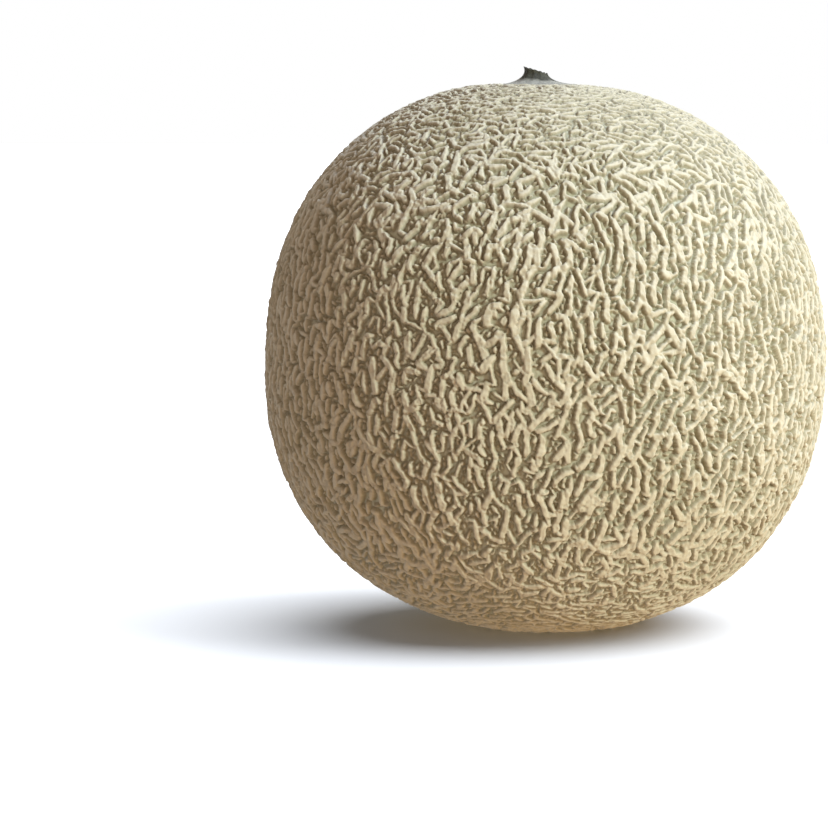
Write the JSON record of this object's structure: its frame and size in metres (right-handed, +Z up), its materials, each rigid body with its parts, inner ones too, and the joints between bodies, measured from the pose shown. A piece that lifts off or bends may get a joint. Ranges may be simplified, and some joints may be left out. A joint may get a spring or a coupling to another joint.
{
  "type": "cantaloupe melon",
  "caption": "Round netted cantaloupe melon with a dried stem stub at the top and a small flat resting spot.",
  "frame": {"origin": "on the ground under the middle of the melon, which is the centre of the bounding box's bottom", "axes": "+Z up, from the resting spot towards the stem; -Y is the front, the side seen in the picture; the stem stands a little towards -X from the middle"},
  "size_m": [0.1492, 0.1492, 0.1495],
  "materials": {
    "netted_rind": "matte raised tan netting over grey-green skin",
    "dried_stem": "dry, matte"
  },
  "bodies": {
    "root": {"melon": "netted_rind", "stem": "dried_stem"}
  },
  "joints": []
}
